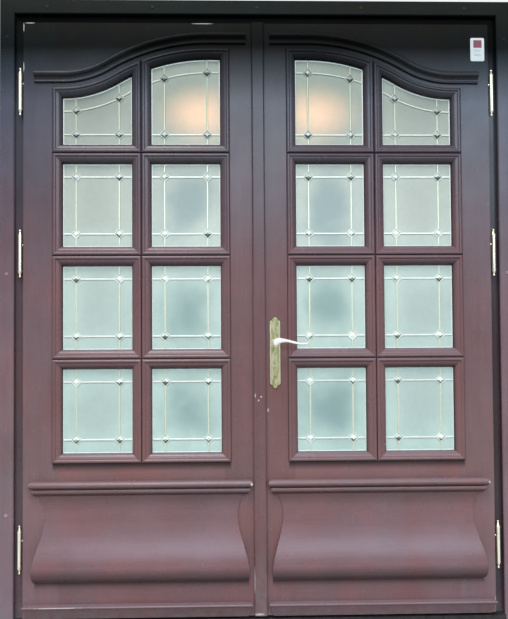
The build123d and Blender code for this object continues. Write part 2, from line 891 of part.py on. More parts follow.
def apron():
    """A board whose section swells from a thin waist to a bulge near its foot, and whose ends swell with
    it."""
    top = dado_foot_z
    foot = leaf_foot + apron_foot
    waist = top - apron_waist_drop
    bulge = top - apron_bulge_drop
    turn = (waist + bulge) / 2
    swell = (apron_waist_thickness + apron_bulge_thickness) / 2
    section = make_face([
        Spline((apron_top_thickness, top), (apron_waist_thickness, waist), (swell, turn),
               (apron_bulge_thickness, bulge), (apron_foot_thickness, foot)),
        Line((apron_foot_thickness, foot), (0, foot)),
        Line((0, foot), (0, top)),
        Line((0, top), (apron_top_thickness, top)),
    ])
    half_top = dado_half - apron_inset_top
    half_waist = dado_half - apron_inset_waist
    half_bulge = dado_half - apron_inset_bulge
    half_foot = half_bulge - apron_foot_tuck
    side = make_face([
        Spline((half_top, top), (half_waist, waist), ((half_waist + half_bulge) / 2, turn),
               (half_bulge, bulge), (half_foot, foot)),
        Line((half_foot, foot), (0, foot)),
        Line((0, foot), (0, top)),
        Line((0, top), (half_top, top)),
    ])
    across = Plane(origin=(dado_centre, leaf_front, 0), x_dir=(0, -1, 0), z_dir=(-1, 0, 0))
    front = extrude(across * section, amount=dado_half, both=True)
    whole = side + mirror(side, about=Plane.YZ)
    return front & slab(Pos(dado_centre, 0) * whole, leaf_front - 2 * apron_bulge_thickness, leaf_front)


def meeting_strip():
    """The cover strip on the right leaf: rounded front, back relieved where it laps the left leaf."""
    half = strip_width / 2
    front = leaf_front - strip_thickness
    round_mid = strip_round * (1 - sqrt(1 / 2))
    section = outline(
        (-half, leaf_front - strip_relief),
        (-half, front + strip_round),
        ((-half + round_mid, front + round_mid), (-half + strip_round, front)),
        (half - strip_round, front),
        ((half - round_mid, front + round_mid), (half, front + strip_round)),
        (half, leaf_front),
        (meeting_edge, leaf_front),
        (meeting_edge, leaf_front - strip_relief),
    )
    foot = leaf_foot + strip_end_gap
    return extrude(Plane.XY.offset(foot) * section, amount=leaf_top - strip_end_gap - foot)


# Lock, handle and bolts


def euro_area(grow):
    """Outline of the key cylinder: a round top over a narrow leg, seen from the front."""
    radius = cylinder_radius + grow
    leg_foot = cylinder_z + cylinder_radius - cylinder_drop_length - grow
    leg = rect(lock_u - cylinder_leg / 2 - grow, lock_u + cylinder_leg / 2 + grow, leg_foot, cylinder_z)
    return Pos(lock_u, cylinder_z) * Circle(radius) + leg


def lock_pieces():
    """Case, faceplate, follower, spindle, latch, deadbolt and cylinder, with their cuts in the stile."""
    edge = meeting_edge + plate_edge_thickness
    half = case_thickness / 2
    case_y = (leaf_middle - half, leaf_middle + half)
    deep = (leaf_front, leaf_back)
    case = block(edge, edge + case_width, *case_y, case_foot, case_top)
    cavity = block(edge, edge + case_width - case_wall, case_y[0] + case_wall, case_y[1] - case_wall,
                   case_foot + case_wall, case_top - case_wall)
    euro_hole = slab(euro_area(fit_gap), leaf_front - plate_thickness, leaf_back + plate_thickness)
    spindle_hole = rod(lock_u, *deep, hub_z, spindle_hole_radius)
    turning_hole = rod(lock_u, *deep, hub_z, spindle_side / sqrt(2) + fit_gap)
    latch_y = (leaf_middle - latch_width / 2, leaf_middle + latch_width / 2)
    latch_z = (hub_z - latch_height / 2, hub_z + latch_height / 2)
    bolt_y = (leaf_middle - bolt_width / 2, leaf_middle + bolt_width / 2)
    bolt_range = (bolt_z - bolt_height / 2, bolt_z + bolt_height / 2)
    edge_y = (leaf_middle - plate_edge_width / 2, leaf_middle + plate_edge_width / 2)
    plate = block(meeting_edge, edge, *edge_y, lock_edge_foot, lock_edge_top)
    plate_pocket = block(meeting_edge, edge, edge_y[0] - fit_gap, edge_y[1] + fit_gap,
                         lock_edge_foot - fit_gap, lock_edge_top + fit_gap)
    windows = []
    for y_pair, z_pair in ((latch_y, latch_z), (bolt_y, bolt_range)):
        windows.append(block(-edge, edge, y_pair[0] - fit_gap, y_pair[1] + fit_gap, z_pair[0] - fit_gap,
                             z_pair[1] + fit_gap))
    parts["lock_case"] = case - cavity - euro_hole - turning_hole + (plate - windows[0] - windows[1])
    tip = meeting_edge - latch_reach
    bevel = outline((tip, latch_y[0]), (tip + latch_bevel, latch_y[1]), (tip + latch_length, latch_y[1]),
                    (tip + latch_length, latch_y[0]))
    parts["latch_bolt"] = extrude(Plane.XY.offset(latch_z[0]) * bevel, amount=latch_height)
    parts["deadbolt"] = block(meeting_edge, meeting_edge + bolt_length, *bolt_y, *bolt_range)
    half_side = spindle_side / 2
    square = block(lock_u - half_side, lock_u + half_side, -frame_depth * 2, frame_depth * 2,
                   hub_z - half_side, hub_z + half_side)
    follower_y = (case_y[0] + case_wall + fit_gap, case_y[1] - case_wall - fit_gap)
    follower = rod(lock_u, *follower_y, hub_z, follower_radius)
    follower += block(lock_u - half_side, lock_u + half_side, *follower_y, hub_z,
                      hub_z + follower_radius + follower_tab)
    parts["follower"] = follower - square
    spindle_reach = plate_thickness + neck_length - spindle_socket
    socket_front = leaf_front - spindle_reach
    around_hub = rect(lock_u - backset, lock_u + backset, hub_z - backset, hub_z + backset)
    parts["spindle"] = square & slab(around_hub, socket_front, leaf_back + spindle_reach)
    lock_cylinder(euro_area(0))
    handle(square, socket_front, euro_hole)
    stile_case = block(edge, edge + case_width + fit_gap, case_y[0] - fit_gap, case_y[1] + fit_gap,
                       case_foot - fit_gap, case_top + fit_gap)
    parts["right_meeting_stile"] = (parts["right_meeting_stile"] - stile_case - plate_pocket - spindle_hole
                                    - slab(euro_area(fit_gap), *deep))
    strike_depth = edge + bolt_throw + pocket_play
    pockets = []
    for y_pair, z_pair, reach in ((latch_y, latch_z, edge + latch_throw), (bolt_y, bolt_range, strike_depth)):
        pockets.append(block(-reach, -meeting_edge, y_pair[0] - fit_gap, y_pair[1] + fit_gap,
                             z_pair[0] - fit_gap, z_pair[1] + fit_gap))
    strike = mirrored(plate)
    parts["strike_plate"] = strike - pockets[0] - pockets[1]
    passive_stile = parts["left_meeting_stile"] - mirrored(plate_pocket)
    parts["left_meeting_stile"] = passive_stile - pockets[0] - pockets[1]


def lock_cylinder(area):
    """Key cylinder body with a running bore, and the plug that turns in it and carries the cam."""
    front = leaf_front - plate_thickness - cylinder_proud
    back = leaf_back + plate_thickness + cylinder_proud
    body = slab(area, front, back) - rod(lock_u, front, back, cylinder_z, plug_core_radius + snug)
    cam_y = (leaf_middle - cam_width / 2, leaf_middle + cam_width / 2)
    body -= rod(lock_u, cam_y[0] - cam_gap, cam_y[1] + cam_gap, cylinder_z, cam_radius + cam_gap)
    parts["cylinder_body"] = body
    plug = rod(lock_u, front, back, cylinder_z, plug_core_radius)
    cam = rod(lock_u, *cam_y, cylinder_z, cam_radius) & block(
        lock_u - plug_core_radius, lock_u + plug_core_radius, *cam_y, cylinder_z - cam_radius, cylinder_z)
    slot = rect(lock_u - key_slot_width / 2, lock_u + key_slot_width / 2, cylinder_z - key_slot_height / 2,
                cylinder_z + key_slot_height / 2)
    plug = plug + cam - slab(slot, front, front + key_slot_depth) - slab(slot, back - key_slot_depth, back)
    parts["cylinder_plug"] = plug


def bevelled_slab(sketch, front, back):
    """A slab with its front edge bevelled."""
    solid = slab(sketch, front, back)
    return chamfer(solid.faces().sort_by(Axis.Y)[0].edges(), plate_bevel)


def handle_plate(euro_hole):
    """The front plate: a long plate with rounded corners and a round lobe at each end, relief panels, a hole
    for the lever's neck and one for the cylinder."""
    back = leaf_front
    front = back - plate_thickness
    plate = bevelled_slab(Pos(lock_u, plate_middle) * RectangleRounded(plate_width, plate_body, plate_round),
                          front, back)
    for side in (-1, 1):
        plate += bevelled_slab(Pos(lock_u, plate_middle + side * plate_body / 2) * Circle(plate_lobe_radius),
                               front, back)
    for low, high in relief_heights:
        centre = Pos(lock_u, plate_middle + (low + high) / 2)
        height = high - low
        recess = centre * RectangleRounded(relief_width, height, relief_round)
        boss = centre * Ellipse(relief_width / 2 * boss_scale, height / 2 * boss_scale)
        plate -= slab(recess - boss, front, front + relief_depth)
    plate -= rod(lock_u, front, back, hub_z, neck_radius + fit_gap)
    return plate - euro_hole


def lever(square, socket_front):
    """Neck, domed hub and an S-curved tapering grip."""
    back = leaf_front - fit_gap
    neck_front = leaf_front - plate_thickness - neck_length
    grip_y = neck_front - hub_depth / 2
    neck = rod(lock_u, neck_front - hub_depth / 2, back, hub_z, neck_radius)
    centre = hub_depth - hub_radius
    shoulder = (sqrt(hub_radius**2 - hub_shoulder**2), centre + hub_shoulder)
    dome = revolve(Plane.XZ * ball_end(hub_radius, centre, [(neck_radius, 0), shoulder]), axis=Axis.Z)
    hub = Pos(lock_u, neck_front, hub_z) * Rot(90, 0, 0) * dome
    sections = []
    for share, rise, half_height, half_depth in lever_sections:
        origin = (lock_u + share * lever_length, grip_y, hub_z + rise)
        place = Plane(origin=origin, x_dir=(0, 1, 0), z_dir=(1, 0, 0))
        sections.append((place * Ellipse(half_depth, half_height)).faces()[0])
    grip = loft(sections)
    clear = block(lock_u - hub_radius, lock_u + hub_radius, socket_front, leaf_front, hub_z - hub_radius,
                  hub_z + hub_radius)
    return neck + hub + grip - (square & clear)


def plate_screw(z):
    """A wood screw at the end of the plate, with a low domed head."""
    front = leaf_front - plate_thickness
    head = rod(lock_u, front - screw_head_height, front, z, screw_radius)
    head = chamfer(head.edges().group_by(Axis.Y)[0], screw_head_height / 2)
    return head + rod(lock_u, front, front + screw_shank_length, z, screw_shank_radius)


def handle(square, socket_front, euro_hole):
    """Plates, levers and screws, front and back alike."""
    flip = Plane.XZ.offset(-leaf_middle)
    screws = [plate_screw(plate_middle + side * plate_body / 2) for side in (-1, 1)]
    plate = handle_plate(euro_hole)
    for screw in screws:
        plate = plate - screw
        parts["right_meeting_stile"] = parts["right_meeting_stile"] - screw - mirror(screw, about=flip)
    front_lever = lever(square, socket_front)
    parts["front_plate"] = plate
    parts["back_plate"] = mirror(plate, about=flip)
    parts["front_lever"] = front_lever
    parts["back_lever"] = mirror(front_lever, about=flip)
    parts["plate_screws"] = group(screws + [mirror(screw, about=flip) for screw in screws])


def flush_bolt(up):
    """One flush bolt: a channel let into the leaf's edge, and its rod with a thumb slide. Drawn on the
    right."""
    end = body_top if up else leaf_foot
    inward = -1 if up else 1
    back = end + inward * flush_length
    y0, y1 = rod_y - flush_width / 2, rod_y + flush_width / 2
    channel = block(meeting_edge, meeting_edge + flush_depth, y0, y1, min(end, back), max(end, back))
    tip = end + inward * flush_inset
    heel = tip + inward * flush_rod_length
    bore_end = heel + inward * pocket_play
    bore = post(rod_u, rod_y, min(end, bore_end), max(end, bore_end), flush_rod_radius + fit_gap)
    thumb_z = heel - inward * thumb_height
    thumb_y = (rod_y - thumb_width / 2, rod_y + thumb_width / 2)
    slot_low = min(thumb_z, thumb_z - inward * flush_throw) - thumb_height / 2 - pocket_play
    slot_high = max(thumb_z, thumb_z - inward * flush_throw) + thumb_height / 2 + pocket_play
    slot = block(meeting_edge, rod_u, thumb_y[0] - fit_gap, thumb_y[1] + fit_gap, slot_low, slot_high)
    bolt = post(rod_u, rod_y, min(tip, heel), max(tip, heel), flush_rod_radius)
    bolt += block(meeting_edge - thumb_proud, rod_u, *thumb_y, thumb_z - thumb_height / 2,
                  thumb_z + thumb_height / 2)
    return channel, channel - bore - slot, bolt


def flush_bolts():
    housings = []
    for name, up in (("top_flush_bolt", True), ("bottom_flush_bolt", False)):
        space, housing, bolt = flush_bolt(up)
        parts["left_meeting_stile"] = parts["left_meeting_stile"] - mirrored(space)
        housings.append(mirrored(housing))
        parts[name] = mirrored(bolt)
    parts["flush_bolt_housings"] = group(housings)


# Assembly

frame()
for piece_name, timber in leaf_timber().items():
    both_leaves(piece_name, [timber])
glazing()
band = swept_along_ogee(arch_band_profile(), arch_band_rise, arch_band_start, arch_band_end)
both_leaves("arch_moulding", [band])
both_leaves("dado_moulding", [returned(dado_profile(), dado_start, dado_end, dado_projection)])
both_leaves("apron", [apron()])
both_leaves("weatherboard", [returned(board_profile(), board_start, board_end, board_projection)])
parts["meeting_strip"] = meeting_strip()
hinges()
lock_pieces()
flush_bolts()

os.makedirs("parts", exist_ok=True)
for node, shape in parts.items():
    export_step(shape, f"parts/{node}.step")
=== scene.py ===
"""French doors with their frame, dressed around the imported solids: stained timber with its grain and
weathering, frosted leaded glass, brass hardware, a small security sticker of plain fields, screw slots and
chipped corners."""
from math import pi, radians

import bpy
import numpy as np
from mathutils import Matrix, Vector


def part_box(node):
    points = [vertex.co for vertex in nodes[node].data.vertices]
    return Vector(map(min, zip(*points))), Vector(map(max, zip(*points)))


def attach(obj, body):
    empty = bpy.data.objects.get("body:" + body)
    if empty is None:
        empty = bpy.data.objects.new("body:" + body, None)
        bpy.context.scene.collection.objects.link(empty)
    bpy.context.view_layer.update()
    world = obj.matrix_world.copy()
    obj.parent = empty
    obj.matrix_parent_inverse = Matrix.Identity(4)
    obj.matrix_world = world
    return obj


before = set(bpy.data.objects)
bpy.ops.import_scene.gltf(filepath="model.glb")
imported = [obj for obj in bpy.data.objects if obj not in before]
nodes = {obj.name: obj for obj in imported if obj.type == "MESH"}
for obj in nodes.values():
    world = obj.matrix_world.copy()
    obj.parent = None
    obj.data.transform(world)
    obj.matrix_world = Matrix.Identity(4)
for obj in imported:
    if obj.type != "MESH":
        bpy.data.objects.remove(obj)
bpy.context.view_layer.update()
scene = bpy.context.scene

# The photograph's camera: its place, its turn as a vector along the axis, its lens in mm and its shift
camera_place = (-0.091, -2.450, 0.899)
camera_turn = (radians(1.45), radians(0.35), radians(-1.31))
camera_lens = 39.96
camera_shift = (0.0078, 0.0636)

# Places and sizes in metres, as the solids have them: X is measured from the meeting line, Y from the middle
# of the frame's depth and Z from the ground. Places on a leaf are the right one's, as the left one mirrors it
frame_face = -0.045
leaf_face = -0.043
glass_face = -0.025
light_start = 0.1345
light_foot = 0.599
light_size = (0.2415, 0.292)
light_pitch = (0.3115, 0.362)
columns, rows = 2, 4
came_inset = 0.045
arch_crown = (0.1745, 1.989)
arch_foot = (0.6875, 1.84916)
arch_radii = (0.62680, 0.38417)
lock_x = 0.055

# Small trim, where dirt lies and where shade is painted, in metres, and the counts of steps in what is drawn
# here
fillet_size = 0.0028
fillet_steps = 4
arch_steps = 25
shadow_reach = 0.032  # the painted shadow below a moulding
shadow_edge = 0.006  # its soft ends
recess_band = (0.003, 0.012)  # depths behind the frame's face over which painted shade darkens the recess
crease_band = (0.006, 0.013)  # depths behind the leaf's face over which painted shade darkens a bead towards the glass
inside_band = (0.0, 0.012)  # depths over which the outside's colours give way to the inside's
dust_and_sheen_heights = (1.1, 1.7)  # dust with a painted sky sheen lies below the first and has ended at the second
strip_reach = (0.0035, 0.006)  # from a came's middle: its edge, and where its duller colour has ended
field_reach = (0.0150, 0.0125)  # from a long plate's middle: its plain rim, and where the waves are full
slot_half = 0.0005
sticker_place = (0.7857, 2.0240)
sticker_half = (0.0248, 0.0418)
sticker_corner = 0.003
sticker_steps = (13, 21)
sticker_block = (-0.0140, 0.0160, 0.0065, 0.0340)  # its red block: left, right, foot and top from the middle
sticker_bars = ((0.000, 0.015), (0.005, 0.011), (0.015, 0.012), (0.020, 0.014))  # drop and half length
bar_height = 0.0028
foil_stand = 0.0003  # the foil's thickness, which is also how far it stands off the timber
foil_curl = 0.0004
curl_power = 8  # the foil lifts only close to its edges

# Painted shade and a painted lamp glow that show through the glass, in metres
shade_cloud_reach = (0.115, 0.140)  # half width and half height of the painted shade cloud in each light
column_margin = 0.03  # the outer column starts this far before its first light
painted_glow_place = (0.205, 1.795)
painted_glow_reach = (0.190, 0.132)
painted_glow_strength = 0.72
painted_glow_colour = (1.0, 0.62, 0.38)

# Heights that the weathering and the painted shade follow, and the colours there: the timber is painted dark
# under the eaves as shade, its sheen is lowered there as a painted lack of reflection, the cames and lozenges
# are painted darker there too, and the glass is painted greener and brighter low down as light
shade_and_weather_heights = (0.0, 0.55, 1.15, 1.45, 1.83, 1.95, 2.03, 2.2)
timber_tones = (
    (0.215, 0.112, 0.120), (0.178, 0.092, 0.090), (0.152, 0.078, 0.081), (0.096, 0.056, 0.064),
    (0.042, 0.038, 0.051), (0.018, 0.020, 0.024), (0.006, 0.006, 0.006), (0.014, 0.013, 0.010))
frame_tint = (1.05, 1.30, 1.42)
came_tones = (
    (0.97, 1.00, 0.92), (0.97, 1.00, 0.92), (0.96, 0.99, 0.90), (0.88, 0.91, 0.82),
    (0.52, 0.55, 0.46), (0.44, 0.48, 0.40), (0.44, 0.48, 0.40), (0.44, 0.48, 0.40))
lozenge_tones = (0.95, 0.95, 0.92, 0.80, 0.42, 0.36, 0.36, 0.36)
inside_tone = (0.150, 0.078, 0.078)
inside_sheen = 0.36
timber_sheen = (0.36, 0.36, 0.36, 0.32, 0.42, 0.16, 0.02, 0.02)
glass_edge_tones = (
    (0.60, 0.76, 0.68), (0.60, 0.76, 0.68), (0.54, 0.65, 0.58), (0.48, 0.52, 0.45),
    (0.26, 0.285, 0.235), (0.23, 0.26, 0.21), (0.22, 0.25, 0.20), (0.22, 0.25, 0.20))
glass_inner_tones = (
    (0.28, 0.41, 0.39), (0.28, 0.41, 0.39), (0.27, 0.39, 0.36), (0.26, 0.33, 0.32),
    (0.195, 0.23, 0.175), (0.18, 0.22, 0.17), (0.18, 0.22, 0.17), (0.18, 0.22, 0.17))
glass_outer_tones = (
    (0.50, 0.62, 0.57), (0.50, 0.62, 0.57), (0.45, 0.53, 0.48), (0.41, 0.44, 0.38),
    (0.225, 0.25, 0.205), (0.21, 0.24, 0.20), (0.21, 0.24, 0.20), (0.21, 0.24, 0.20))
dust_and_sheen_colour = (0.40, 0.36, 0.44)
silt_colour = (0.17, 0.16, 0.16)
no_tint = (1, 1, 1)

# The coat on the timber, the shares of its light kept where shade is painted on undersides, below mouldings
# and on a bead's sides and foot, and the share of silt
grain_stretch = 0.04  # the grain is drawn out along the member by one over this
coat_roughness = (0.22, 0.30)
coat_ior = 1.5
underside_light = 0.35
shadow_share = 0.15
bead_side_light = 0.35
bead_foot_light = 0.30
silt_share = 0.75

# Colours of the small pieces
plate_bright = (1.0, 0.97, 0.66)
plate_green = (0.48, 0.50, 0.17)
slot_dark = (0.04, 0.03, 0.02)
glass_ior = 1.5
foil_tones = ((0.42, 0.47, 0.47), (0.50, 0.54, 0.54))
block_red = (0.16, 0.018, 0.040)
bar_grey = (0.17, 0.19, 0.20)
bar_share = 0.6  # how much of the grey is printed

# Sockets of a mix node for colours and for vectors: its factor, its two inputs and its output
colour_sockets, colour_output = (0, 6, 7), 2
vector_sockets, vector_output = (0, 4, 5), 1


class Shader:
    """Builds one material's nodes: each method adds a node and gives back its output socket."""

    def __init__(self, name):
        self.material = bpy.data.materials.new(name)
        self.material.use_nodes = True
        self.tree = self.material.node_tree
        self.tree.nodes.clear()
        self.surface = self.tree.nodes.new("ShaderNodeBsdfPrincipled")
        output = self.tree.nodes.new("ShaderNodeOutputMaterial")
        self.tree.links.new(self.surface.outputs["BSDF"], output.inputs["Surface"])

    def add(self, kind, **inputs):
        """A node of that kind. An input is a value or another node's output."""
        node = self.tree.nodes.new("ShaderNode" + kind)
        for key, value in inputs.items():
            self.feed(node.inputs[key.replace("_", " ")], value)
        return node

    def feed(self, socket, value):
        """A socket gets another node's output, a plain number or a colour."""
        if isinstance(value, bpy.types.NodeSocket):
            self.tree.links.new(value, socket)
        else:
            socket.default_value = value

    def put(self, **inputs):
        """Sets the surface's own sockets."""
        for key, value in inputs.items():
            self.feed(self.surface.inputs[key.replace("_", " ")], value)

    def place(self, scale=(1, 1, 1), shift=(0, 0, 0)):
        """The piece's own coordinates in metres, stretched."""
        coordinates = self.add("TexCoord").outputs["Object"]
        mapping = self.add("Mapping", Vector=coordinates, Scale=scale, Location=shift)
        return mapping.outputs["Vector"]

    def axis(self, name):
        """One of the piece's own coordinates."""
        split = self.add("SeparateXYZ", Vector=self.add("TexCoord").outputs["Object"])
        return split.outputs[name]

    def facing(self, name):
        """One part of the surface's direction in the piece's own coordinates."""
        split = self.add("SeparateXYZ", Vector=self.add("TexCoord").outputs["Normal"])
        return split.outputs[name]

    def noise(self, vector, scale, detail=3.0, roughness=0.55, distortion=0.0):
        """Cloudy noise from 0 to 1, with about so many clouds to the metre, in so many finer layers."""
        node = self.add("TexNoise", Vector=vector, Scale=scale, Detail=detail, Roughness=roughness,
                        Distortion=distortion)
        return node.outputs["Fac"]

    def calc(self, operation, a, b=0.0, c=0.0):
        """One step of arithmetic on numbers or outputs."""
        node = self.tree.nodes.new("ShaderNodeMath")
        node.operation = operation
        for socket, value in zip(node.inputs, (a, b, c)):
            self.feed(socket, value)
        return node.outputs[0]

    def span(self, value, low, high, to_low=0.0, to_high=1.0, smooth=False):
        """Maps low..high to another span, held at its ends."""
        node = self.add("MapRange")
        node.clamp = True
        if smooth:
            node.interpolation_type = "SMOOTHSTEP"
        for key, item in (("Value", value), ("From Min", low), ("From Max", high), ("To Min", to_low),
                          ("To Max", to_high)):
            self.feed(node.inputs[key], item)
        return node.outputs["Result"]

    def ramp(self, value, stops):
        """Colours at places from 0 to 1."""
        node = self.add("ValToRGB", Fac=value)
        elements = node.color_ramp.elements
        while len(elements) < len(stops):
            elements.new(0.5)
        for element, (at, colour) in zip(elements, stops):
            element.position = at
            element.color = (*colour, 1)
        return node.outputs["Color"]

    def blend(self, factor, a, b, way="MIX"):
        """Two colours mixed by a factor."""
        node = self.tree.nodes.new("ShaderNodeMix")
        node.data_type = "RGBA"
        node.blend_type = way
        for index, value in zip(colour_sockets, (factor, a, b)):
            self.feed(node.inputs[index], (*value, 1) if isinstance(value, tuple) else value)
        return node.outputs[colour_output]

    def choose(self, factor, a, b):
        """Vector a where the factor is 0 and b where it is 1."""
        node = self.tree.nodes.new("ShaderNodeMix")
        node.data_type = "VECTOR"
        for index, value in zip(vector_sockets, (factor, a, b)):
            self.feed(node.inputs[index], value)
        return node.outputs[vector_output]

    def grey(self, value):
        """The same number in all three colours."""
        return self.add("CombineColor", Red=value, Green=value, Blue=value).outputs[0]

    def relief(self, height, distance, strength=1.0):
        """Bumps the surface by a height times a distance in metres."""
        normal = self.add("Bump", Height=height, Distance=distance, Strength=strength).outputs["Normal"]
        self.put(Normal=normal)


def shaded_and_weathered(shader, colours):
    """The colour at the piece's own height, from a list that goes with the heights of weathering and painted
    shade, so that it holds painted shade under the eaves. A number stands for a grey."""
    top = shade_and_weather_heights[-1]
    height = shader.calc("DIVIDE", shader.axis("Z"), top)
    colours = [colour if isinstance(colour, tuple) else (colour, colour, colour) for colour in colours]
    return shader.ramp(height, [(z / top, colour) for z, colour in zip(shade_and_weather_heights, colours)])


def distance(shader, across, up):
    """The length of a step across and up."""
    return shader.calc("SQRT", shader.calc("MULTIPLY_ADD", across, across, shader.calc("MULTIPLY", up, up)))


def spots(shader, places):
    """A mask of small worn spots: 1 inside the ellipses at (x, z, half width, half height), ragged at their
    rims."""
    ragged = shader.calc("MULTIPLY", shader.noise(shader.place(), 260, 3, 0.6), 1.3)
    total = None
    for x, z, half_width, half_height in places:
        across = shader.calc("DIVIDE", shader.calc("SUBTRACT", shader.axis("X"), x), half_width)
        up = shader.calc("DIVIDE", shader.calc("SUBTRACT", shader.axis("Z"), z), half_height)
        spot = shader.span(shader.calc("ADD", distance(shader, across, up), ragged), 1.45, 1.30)
        total = spot if total is None else shader.calc("MAXIMUM", total, spot)
    return total


def shadow_below_moulding(shader, low_corner, high_corner):
    """A mask of painted shadow under a moulding, given by its box on the left leaf: dark below it and 1
    elsewhere. Both leaves share it, as it goes by the distance from the meeting line."""
    reach = shader.calc("ABSOLUTE", shader.axis("X"))
    foot, inner, outer = low_corner[2], -high_corner[0], -low_corner[0]
    clear = shader.span(shader.axis("Z"), foot, foot - shadow_reach, shadow_share, 1.0, smooth=True)
    clear = shader.calc("MAXIMUM", clear, shader.calc("GREATER_THAN", shader.axis("Z"), foot))
    clear = shader.calc("MAXIMUM", clear, shader.span(reach, inner + shadow_edge, inner))
    return shader.calc("MAXIMUM", clear, shader.span(reach, outer - shadow_edge, outer))


def timber(name, along, tint=no_tint, recess=None, crease_shade=False, grime=(), splash=0.10, worn=(),
           worn_colour=(0.55, 0.52, 0.50), dust_and_sheen=0.25):
    """Stained and varnished hardwood: a red-brown ground that is painted dark under the eaves as shade, fine
    grain along the member (z upright, x level, or turn to follow a moulding's faces), open pores, dust with a
    painted sky sheen on what faces up, painted shade on what faces down and a satin coat whose sheen is
    lowered under the eaves as a painted lack of reflection. The recess share paints shade behind the frame's
    face, crease shade is painted along a bead's outer edge and against the glass, a painted shadow hangs
    below each box given, silt splashed up from the ground fades at the splash height, and worn places show
    pale wood."""
    shader = Shader(name)
    upright, level = (1, 1, grain_stretch), (grain_stretch, 1, 1)
    if along == "turn":
        lies_level = shader.calc("GREATER_THAN", shader.calc("ABSOLUTE", shader.facing("Z")),
                                 shader.calc("ABSOLUTE", shader.facing("X")))
        vector = shader.choose(lies_level, shader.place(upright), shader.place(level))
    else:
        vector = shader.place(level if along == "x" else upright)
    inside = shader.span(shader.axis("Y"), *inside_band)
    base = shader.blend(1.0, shaded_and_weathered(shader, timber_tones), tint, "MULTIPLY")
    base = shader.blend(inside, base, inside_tone)
    grain = shader.noise(vector, 170, 5, 0.62, 0.4)
    figure = shader.noise(vector, 31, 2, 0.5, 0.8)
    patches = shader.noise(shader.place(), 5.0, 4, 0.6)
    pores = shader.noise(vector, 700, 2, 0.5)
    light = shader.span(grain, 0.32, 0.68, 0.95, 1.05)
    light = shader.calc("MULTIPLY", light, shader.span(figure, 0.3, 0.7, 0.96, 1.04))
    light = shader.calc("MULTIPLY", light, shader.span(patches, 0.3, 0.7, 0.90, 1.10))
    light = shader.calc("MULTIPLY", light, shader.span(pores, 0.58, 0.68, 1.0, 0.90))
    # Painted shade on what faces down
    light = shader.calc("MULTIPLY", light, shader.span(shader.facing("Z"), -0.6, 0.0, underside_light, 1.0))
    # Painted shade in the frame's recess behind its face
    if recess is not None:
        depths = (frame_face + depth for depth in recess_band)
        set_back = shader.span(shader.axis("Y"), *depths, 1.0, recess)
        light = shader.calc("MULTIPLY", light, set_back)
    # Painted shadow below the mouldings given
    for box in grime:
        light = shader.calc("MULTIPLY", light, shadow_below_moulding(shader, *box))
    # Painted shade on a bead's sides and at its foot by the glass
    if crease_shade:
        flatness = shader.calc("ABSOLUTE", shader.facing("Y"))
        sideways = shader.span(flatness, 0.35, 0.75, bead_side_light, 1.0)
        depths = (leaf_face + depth for depth in crease_band)
        deep = shader.span(shader.axis("Y"), *depths, 1.0, bead_foot_light)
        light = shader.calc("MULTIPLY", light, shader.calc("MULTIPLY", sideways, deep))
    tinted = shader.blend(1.0, base, shader.grey(light), "MULTIPLY")
    long_clouds = shader.place((1, 1, 0.5), (0.3, 0, 0.8))
    rosy = shader.span(shader.noise(long_clouds, 7.0, 4, 0.6), 0.35, 0.65)
    tinted = shader.blend(rosy, shader.blend(1.0, tinted, (0.95, 1.05, 1.08), "MULTIPLY"),
                          shader.blend(1.0, tinted, (1.06, 0.95, 0.93), "MULTIPLY"))
    # Dust on what faces up low down, with a painted sky sheen mixed into it
    low = shader.span(shader.axis("Z"), *dust_and_sheen_heights, 1.0, 0.0)
    dust = shader.calc("MULTIPLY", shader.span(shader.facing("Z"), 0.1, 0.8, 0.0, dust_and_sheen), low)
    tinted = shader.blend(dust, tinted, dust_and_sheen_colour)
    splashes = shader.span(shader.noise(shader.place(), 38, 4, 0.65), 0.35, 0.65, 0.15, 1.0)
    silt = shader.calc("MULTIPLY", shader.span(shader.axis("Z"), splash, 0.0, 0.0, silt_share), splashes)
    tinted = shader.blend(silt, tinted, silt_colour)
    if worn:
        tinted = shader.blend(spots(shader, worn), tinted, worn_colour)
    rough = shader.span(shader.noise(shader.place(), 9, 3, 0.6), 0.3, 0.7, *coat_roughness)
    # The sheen is lowered under the eaves as a painted lack of sky reflection
    sheen = shader.blend(inside, shaded_and_weathered(shader, timber_sheen), (inside_sheen,) * 3)
    sheen = shader.add("SeparateColor", Color=sheen).outputs[0]
    shader.put(Base_Color=tinted, Roughness=rough, IOR=coat_ior, Specular_IOR_Level=sheen)
    texture = shader.calc("MULTIPLY_ADD", grain, 0.8, shader.calc("MULTIPLY", pores, 0.2))
    shader.relief(texture, 0.00025, 0.35)
    return shader.material


def metal(name, colour, roughness, tarnish, metallic=1.0, shaded_sides=False):
    """Polished or plated metal with a dulled bloom in patches and fine rubbing marks. With shaded sides, a
    piece stays bright on its front and is painted dull towards its sides as shade of its dark reflections."""
    shader = Shader(name)
    bloom = shader.noise(shader.place(), 45, 4, 0.6)
    rub = shader.noise(shader.place((1, 1, 0.15)), 900, 2, 0.5)
    dull = tuple(c * d for c, d in zip(colour, (0.45, 0.38, 0.22)))
    amount = shader.span(bloom, 0.45, 0.75, 0.0, tarnish)
    # Painted shade: the sides that turn away are painted dull
    if shaded_sides:
        side = shader.span(shader.calc("ABSOLUTE", shader.facing("Y")), 0.70, 0.96, 0.95, 0.0, smooth=True)
        amount = shader.calc("MAXIMUM", amount, side)
    rough = shader.span(bloom, 0.3, 0.7, roughness * 0.8, roughness * 1.3)
    shader.put(Base_Color=shader.blend(amount, colour, dull), Metallic=metallic, Roughness=rough)
    shader.relief(rub, 0.00006, 0.3)
    return shader.material


